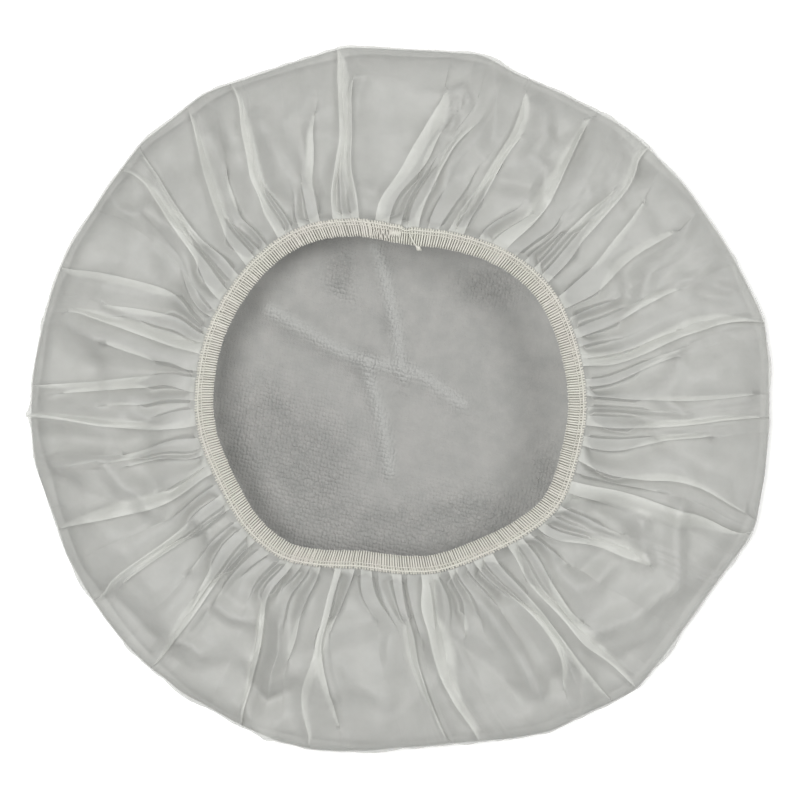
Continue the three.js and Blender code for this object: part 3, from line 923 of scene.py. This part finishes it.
# %% [markdown]
# ## Elastic
# One flat woven strip makes the round of the opening, and its ends lie one over the other at the
# join. Its rubber cords show as fine ribs along it, so the strip is swept with a ribbed section.

# %% Elastic strip
RIBS, RIB_DEEP = 7, 0.14
ELASTIC_LOW, ELASTIC_HIGH = elastic_low.z / MM, elastic_high.z / MM - LAP_LIFT
strip_at = np.linspace(LAP_START, 360 + LAP_END, 430)
strip_lift = LAP_LIFT * smooth(strip_at, 360 + LAP_START - LAP_RAMP, 360 + LAP_START)
across = np.linspace(0, 1, RIBS * 5 + 1)
rib = RIB_DEEP / 2 * (1 - np.cos(2 * math.pi * RIBS * across)) - RIB_DEEP
upper_side = np.stack([CUT_EDGE + ELASTIC_WIDTH * across, ELASTIC_HIGH + rib], 1)
under_side = upper_side[::-3] * [1, 0] + [0, ELASTIC_LOW]
section = np.concatenate([upper_side, under_side])
strip = np.stack([raised(seam_place(strip_at, wide), high + strip_lift)
                  for wide, high in section], axis=1)
elastic = woven("elastic", strip, ends=True)

# %% [markdown]
# ## Overlock seam
# Two looper threads lie across the seam, one above and one below, and meet round the cut edge.
# Two needle threads run along it and hold them. Every stitch is laid here as a real one is: the
# upper looper makes a thick rib over the elastic, thins where the needle threads pull it down,
# swells again to a slanted tooth at the outer side, and goes back under to a loop at the cut edge.

# %% Looper and needle threads
STITCH = 0.98
NOTCH_AT, NOTCH_WIDE, NOTCH_DEEP = 84.8, 1.5, 0.3  # the seam is drawn in beside the join
seam_run = run_along(seam_place(np.append(EVERY, 360), 0))
STITCHES = int(round(seam_run[-1] / STITCH))
LOOPER_TOP = looper_high.z / MM - LAP_LIFT


def lap_lift(directions):
    directions = directions % 360
    return LAP_LIFT * (smooth(directions, LAP_START - LAP_RAMP, LAP_START)
                       * (1 - smooth(directions, LAP_END, LAP_END + LAP_RAMP)))


def stitched(pattern, seed, shake=0.05, slant=0.0):
    """A closed line of stitches. Each point of a pattern has a share of the stitch's length, a
    distance outward of the seam's middle, and a height."""
    draw = np.random.default_rng(seed)
    pattern = np.array(pattern)
    count = np.arange(STITCHES)[:, None]
    loose = draw.normal(0, shake, (STITCHES, 1))
    along = (count + pattern[:, 0] + loose + slant * pattern[:, 1]) * seam_run[-1] / STITCHES
    at = np.interp(along % seam_run[-1], seam_run, np.append(EVERY, 360))
    wide = pattern[:, 1] + draw.normal(0, shake * 1.2, (STITCHES, 1))
    notch = NOTCH_DEEP * np.exp(-((at - NOTCH_AT) / NOTCH_WIDE) ** 2)
    wide = wide * np.where(wide > 0, 1 - notch, 1)
    high = pattern[:, 2] + lap_lift(at)
    return raised(seam_place(at, wide), high).reshape(-1, 3)


upper = LOOPER_TOP - 0.17
UPPER_STITCH = [  # share of a stitch, distance outward, height, radius of the thread
    (0.00, -3.3, upper, 0.24), (0.02, -2.3, upper + 0.03, 0.33), (0.04, -0.6, upper + 0.03, 0.33),
    (0.08, 0.6, upper, 0.32), (0.15, 1.3, upper + 0.02, 0.3), (0.27, 2.0, upper + 0.05, 0.36),
    (0.44, 2.9, upper + 0.02, 0.41), (0.56, 3.4, upper - 0.1, 0.34), (0.64, 3.4, upper - 0.4, 0.16),
    (0.66, 1.8, upper - 0.45, 0.12), (0.72, -1.0, upper - 0.45, 0.12),
    (0.8, -2.9, upper - 0.35, 0.16), (0.87, -3.5, upper - 0.12, 0.21),
    (0.95, -3.55, upper - 0.35, 0.2)]
upper_path = stitched([point[:3] for point in UPPER_STITCH], 31, shake=0.07)
plump = np.random.default_rng(35).normal(1, 0.1, (STITCHES, 1))
upper_radius = (plump * [point[3] for point in UPPER_STITCH]).reshape(-1)
upper_looper = cord("upper_looper", upper_path, upper_radius, flat=0.75)
bottom = lower_low.z / MM + 0.17
lower_path = stitched([(0.1, -3.3, bottom), (0.3, 3.0, bottom), (0.55, 3.4, bottom),
                       (0.75, -1.0, bottom)], 32, slant=0.1)
lower_looper = cord("lower_looper", lower_path, 0.15, sides=5)
needle = LOOPER_TOP + 0.12
outer_path = stitched([(0.0, 2.3, needle - 0.12), (0.25, 2.38, needle), (0.5, 2.4, needle + 0.1),
                       (0.75, 2.34, needle)], 33, shake=0.04)
needle_outer = cord("needle_outer", outer_path, 0.36)
inner_path = stitched([(0.0, 0.98, needle - 0.3), (0.22, 1.02, needle - 0.05),
                       (0.5, 1.05, needle + 0.06), (0.78, 1.0, needle - 0.05)], 34, shake=0.04)
needle_inner = cord("needle_inner", inner_path, 0.22)

# %% [markdown]
# ## Join of the elastic
# Where the strip's ends lap, a zigzag of thread tacks them together before the seam is sewn. It
# is widely spaced at first and then dense, which makes the small blob beside the notch. The
# seam's thread ends close by in a loose tail with a small knot.

# %% Tack and tail
TACK_AT, TACK_HALF = 93.5, 1.5
tack_low, tack_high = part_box("join_tack")
tack_middle = np.array([tack_low.x + tack_high.x, tack_low.y + tack_high.y]) / 2 / MM
tack_out = np.linalg.norm(tack_middle - OPENING_CENTRE) - seam_radius(TACK_AT)
WIDE_TURNS, DENSE_TURNS = np.linspace(3.2, -3.2, 9), np.linspace(-3.6, -7.8, 13)  # mm along
DENSE_OUT = 1.3  # how much further out the dense part lies
tack_turns = np.concatenate([WIDE_TURNS, DENSE_TURNS])
tack_wide = tack_out + np.where(tack_turns < WIDE_TURNS[-1], DENSE_OUT, 0.0)
tack_wide = tack_wide + TACK_HALF * np.where(np.arange(len(tack_turns)) % 2, 1, -1)
tack_path = seam_place(TACK_AT + np.degrees(tack_turns / seam_radius(TACK_AT)), tack_wide)
fine = np.linspace(0, len(tack_turns) - 1, (len(tack_turns) - 1) * 8 + 1)
zigzag = filled_in(tack_path, fine)
rise = (tack_low.z / MM + 0.3 - 0.16 * np.abs(np.cos(math.pi * fine))
        + 0.25 * smooth(fine, 8, 10))
tack = cord("tack", raised(zigzag, rise), 0.22, closed=False)
print("tack seen at", to_picture(np.append(tack_middle, rise.mean())).round(1))

TAIL = [(409.5, 233.5), (411.2, 237.5), (413.2, 241.5), (415.6, 245.4), (418.6, 248.6),
        (421.3, 250.3)]
TAIL_HEIGHTS = [29.5, 29.9, 29.7, 29.1, 28.4, 28.0]
steps = np.linspace(0, len(TAIL) - 1, 41)
tail_line = filled_in(seen_at(TAIL, TAIL_HEIGHTS), steps)
for _ in range(6):
    tail_line[1:-1] = (tail_line[:-2] + 2 * tail_line[1:-1] + tail_line[2:]) / 4
knot = np.exp(-np.abs((steps - 4.0) / 0.55) ** 3)
tail = cord("tail", tail_line, 0.3 + 0.65 * knot, sides=8, closed=False)

# %% [markdown]
# ## Materials
# Every material is made of nodes and keeps to the object's own coordinates, so it doesn't slide
# when the view moves. Scales are worked out from real sizes in millimetres.

# %% Material helpers


def linear(code):
    """A colour written as on screen, in hex, turned into the linear colour that shaders use."""
    parts = [int(code[place:place + 2], 16) / 255 for place in (0, 2, 4)]
    return tuple(part / 12.92 if part <= 0.04045 else ((part + 0.055) / 1.055) ** 2.4
                 for part in parts) + (1.0,)


def add(tree, kind, sockets=(), **settings):
    """A node with its settings. Sockets are values, or the node or output that feeds them."""
    made = tree.nodes.new(kind)
    for name, value in settings.items():
        setattr(made, name, value)
    for name, value in dict(sockets).items():
        if isinstance(value, bpy.types.Node):
            value = value.outputs[0]
        if isinstance(value, bpy.types.NodeSocket):
            tree.links.new(value, made.inputs[name])
        else:
            made.inputs[name].default_value = value
    return made


def new_material(name):
    material = bpy.data.materials.new(name)
    material.use_nodes = True
    material.node_tree.nodes.clear()
    return material, material.node_tree


def close(tree, shader):
    add(tree, "ShaderNodeOutputMaterial", {"Surface": shader})


def object_place(tree, scale_mm=1.0, turn=0.0, stretch=(1, 1, 1)):
    """The object's coordinates in units of scale_mm millimetres, turned about the upright axis."""
    place = add(tree, "ShaderNodeTexCoord")
    size = 1000 / scale_mm
    return add(tree, "ShaderNodeMapping",
               {"Vector": place.outputs["Object"], "Rotation": (0, 0, math.radians(turn)),
                "Scale": tuple(size * share for share in stretch)})


def grain(tree, size_mm, detail=3.0, rough=0.55):
    """Noise whose patches are about size_mm across."""
    return add(tree, "ShaderNodeTexNoise", {"Vector": object_place(tree), "Scale": 1 / size_mm,
                                            "Detail": detail, "Roughness": rough})


def bumped(tree, height, strength, deep_mm, **further):
    """A bump that is at most so many mm deep."""
    return add(tree, "ShaderNodeBump", {"Height": height, "Strength": strength,
                                        "Distance": deep_mm * MM, **further})


def ramp(tree, feed, low, high, to_low=0.0, to_high=1.0):
    return add(tree, "ShaderNodeMapRange", {"Value": feed, "From Min": low, "From Max": high,
                                            "To Min": to_low, "To Max": to_high})


def math_node(tree, operation, first, second=0.0):
    return add(tree, "ShaderNodeMath", {0: first, 1: second}, operation=operation)


def blend_colours(tree, factor, first, second):
    made = add(tree, "ShaderNodeMix", {"Factor": factor, 6: first, 7: second}, data_type="RGBA")
    return made.outputs[2]


# %% [markdown]
# ## Milky film
# The film is a soft blown film with a milky haze: part of the light goes straight through, part
# is spread on the way, and its surface has only a faint gloss. Two layers look whiter than one,
# so where the film is folded the folds show through it.

# %% Milky film material


def milky_film():
    material, tree = new_material("milky_blown_film")
    haze = grain(tree, 9.0, detail=4.0)
    fine = grain(tree, 0.9, detail=2.0)
    colour = blend_colours(tree, haze, linear("e0e1db"), linear("e7e7e3"))
    wide = bumped(tree, haze, 0.12, 0.8, Normal=bumped(tree, fine, 0.12, 0.3))
    surface = add(tree, "ShaderNodeBsdfPrincipled", {
        "Base Color": colour, "Roughness": 0.5, "Specular IOR Level": 0.7, "Sheen Weight": 0.3,
        "Sheen Roughness": 0.35, "Normal": wide})
    through = add(tree, "ShaderNodeBsdfTranslucent", {"Color": colour, "Normal": wide})
    body = add(tree, "ShaderNodeMixShader", {0: 0.25, 1: surface, 2: through})
    clear = add(tree, "ShaderNodeBsdfTransparent")
    cover = ramp(tree, haze, 0.3, 0.7, 0.4, 0.43)
    close(tree, add(tree, "ShaderNodeMixShader", {0: cover, 1: clear, 2: body}))
    return material


film.data.materials.append(milky_film())
print("film material:", film.data.materials[0].name)

# %% [markdown]
# ## Terry knit
# A looped knit has rows of small loops that catch light on their tops. Each loop is a cell of a
# Voronoi pattern at the loops' real pitch, with few enough chance shifts to leave rows, and noise
# bends the rows. The lining is brushed flat over most of the crown: the loft attribute says where
# the loops stand, and the crest attribute where a painted highlight lightens the top of a crease.

# %% Terry material


def terry_knit():
    material, tree = new_material("looped_terry_knit")
    shift = grain(tree, 6.0)
    weave = object_place(tree, 1.45, 12, stretch=(1.1, 0.9, 1))
    bent = add(tree, "ShaderNodeVectorMath", {0: weave, 1: grain(tree, 2.2).outputs["Color"]},
               operation="ADD")
    cells = add(tree, "ShaderNodeTexVoronoi", {"Vector": bent, "Scale": 1.0, "Randomness": 0.45},
                voronoi_dimensions="2D")
    loops = ramp(tree, cells.outputs["Distance"], 0.15, 0.75, 1.0, 0.0)
    loft = add(tree, "ShaderNodeAttribute", attribute_name="loft")
    proud = math_node(tree, "MULTIPLY", loops, ramp(tree, loft.outputs["Fac"], 0, 0.8, 0.1, 1.0))
    fuzz = grain(tree, 0.5, detail=5.0, rough=0.7)
    pile = math_node(tree, "ADD", proud, math_node(tree, "MULTIPLY", fuzz, 0.45))
    worn = ramp(tree, shift, 0.35, 0.65)
    colour = blend_colours(tree, worn, linear("979794"), linear("9f9e9b"))
    crest = add(tree, "ShaderNodeAttribute", attribute_name="crest")
    # a painted highlight: the tops of the creases get a lighter colour
    crest_painted_highlight = blend_colours(tree, crest.outputs["Fac"], colour, linear("a9a9a6"))
    surface = add(tree, "ShaderNodeBsdfPrincipled", {
        "Base Color": crest_painted_highlight, "Roughness": 0.92, "Specular IOR Level": 0.2,
        "Sheen Weight": 0.15, "Sheen Roughness": 0.5, "Normal": bumped(tree, pile, 0.85, 1.1)})
    close(tree, surface)
    return material


lining.data.materials.append(terry_knit())
print("lining material:", lining.data.materials[0].name)

# %% [markdown]
# ## Elastic and threads
# The elastic is woven of fine cream yarn over rubber cords. The sewing thread is a spun, slightly
# fuzzy cream thread, its tint shifting a little from place to place.

# %% Elastic and thread materials


def woven_elastic():
    material, tree = new_material("woven_elastic")
    yarn = grain(tree, 0.35, detail=4.0)
    colour = blend_colours(tree, yarn, linear("75746b"), linear("918f84"))
    close(tree, add(tree, "ShaderNodeBsdfPrincipled", {
        "Base Color": colour, "Roughness": 0.85, "Specular IOR Level": 0.25,
        "Normal": bumped(tree, yarn, 0.5, 0.2)}))
    return material


def spun_thread():
    material, tree = new_material("spun_sewing_thread")
    fibre = grain(tree, 0.25, detail=4.0)
    soil = grain(tree, 14.0)
    colour = blend_colours(tree, soil, linear("c8c2bc"), linear("c7c8bc"))
    close(tree, add(tree, "ShaderNodeBsdfPrincipled", {
        "Base Color": colour, "Roughness": 0.75, "Specular IOR Level": 0.3, "Sheen Weight": 0.2,
        "Sheen Roughness": 0.4, "Normal": bumped(tree, fibre, 0.4, 0.15)}))
    return material


elastic.data.materials.append(woven_elastic())
thread = spun_thread()
for piece in (upper_looper, lower_looper, needle_outer, needle_inner, tack, tail):
    piece.data.materials.append(thread)
print("thread material:", thread.name)

# %% [markdown]
# ## Pieces and what they stand for
# Every piece rides on the one body and takes the place of its CAD solid. The film and the lining
# are sheets, and their flat sizes are those that they were cut to before they were gathered.

# %% Put each piece on the body and hide its CAD solid
for piece, node, finish in (
        (film, "film_shell", "milky_film"), (lining, "terry_lining", "grey_terry"),
        (elastic, "elastic_band", "cream_elastic"),
        (upper_looper, "upper_looper_thread", "cream_thread"),
        (lower_looper, "lower_looper_thread", "cream_thread"),
        (needle_outer, "needle_thread_outer", "cream_thread"),
        (needle_inner, "needle_thread_inner", "cream_thread"),
        (tack, "join_tack", "cream_thread"), (tail, "thread_tail", "cream_thread")):
    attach(piece, "root")
    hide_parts(node)


def surface_area(piece):
    return sum(face.area for face in piece.data.polygons)


film_cut = 2 * (flat_mean[-1] + SEAM_OUT - CUT_EDGE) * MM
lining_cut = 2 * (crown_run[-1] - LINING_EDGE + LINING_TURN) * MM
for piece, cut in ((film, film_cut), (lining, lining_cut)):
    print(piece.name, "cut", round(cut, 4), "m across, area", round(math.pi * cut ** 2 / 4, 4),
          "as modelled", round(surface_area(piece), 4))

# %% [markdown]
# ## Floor and light
# The cap lies on a plain white floor under a dim even sky. The main lamp stands a little left of
# overhead and shades the lining's left edge, as in the photo. A weaker one lower on the right
# lights the folds from the other side. Past the floor's edge the camera sees plain white.

# %% Floor, lamps and sky
FLOOR_GLOW = 0.22  # lifts the floor to white for the camera, and leaves the cap's shadow on it
FLOOR_HALF = 1500


def plain_floor():
    material, tree = new_material("plain_floor")
    matte = add(tree, "ShaderNodeBsdfDiffuse", {"Color": linear("f2f2f0")})
    glow = add(tree, "ShaderNodeEmission", {"Color": linear("ffffff")})
    path = add(tree, "ShaderNodeLightPath")
    seen = math_node(tree, "MAXIMUM", path.outputs["Is Camera Ray"], path.outputs["Is Glossy Ray"])
    tree.links.new(math_node(tree, "MULTIPLY", seen, FLOOR_GLOW).outputs[0],
                   glow.inputs["Strength"])
    close(tree, add(tree, "ShaderNodeAddShader", {0: matte, 1: glow}))
    return material


def pale_sky():
    """A dim even sky that lights the cap. Where the camera sees past the floor, it is white."""
    world = bpy.data.worlds.new("sky")
    world.use_nodes = True
    tree = world.node_tree
    tree.nodes.clear()
    glow = add(tree, "ShaderNodeBackground", {"Color": linear("f4f6f8"), "Strength": 0.28})
    white = add(tree, "ShaderNodeBackground", {"Color": linear("ffffff"), "Strength": 1.0})
    seen = add(tree, "ShaderNodeLightPath").outputs["Is Camera Ray"]
    add(tree, "ShaderNodeOutputWorld",
        {"Surface": add(tree, "ShaderNodeMixShader", {0: seen, 1: glow, 2: white})})
    return world


floor_corners = FLOOR_HALF * np.array([[(-1, -1, 0), (1, -1, 0)], [(-1, 1, 0), (1, 1, 0)]], float)
floor = woven("floor", floor_corners, round_columns=False)
floor.data.materials.append(plain_floor())


def lamp(name, place, size, power):
    """A square lamp that faces the middle of the cap."""
    data = bpy.data.lights.new(name, "AREA")
    data.shape, data.size, data.energy = "SQUARE", size, power
    made = bpy.data.objects.new(name, data)
    made.location = place
    ahead = -made.location.normalized()
    made.rotation_euler = ahead.to_track_quat("-Z", "Y").to_euler()
    bpy.context.scene.collection.objects.link(made)
    return made


lamp("key", (-0.42, 0.0, 1.5), 0.6, 19.5)
lamp("fill", (0.9, 0.3, 1.25), 0.6, 12)
bpy.context.scene.world = pale_sky()
bpy.context.scene.view_settings.view_transform = "Standard"
print("lamps:", [item.name for item in bpy.data.lights])
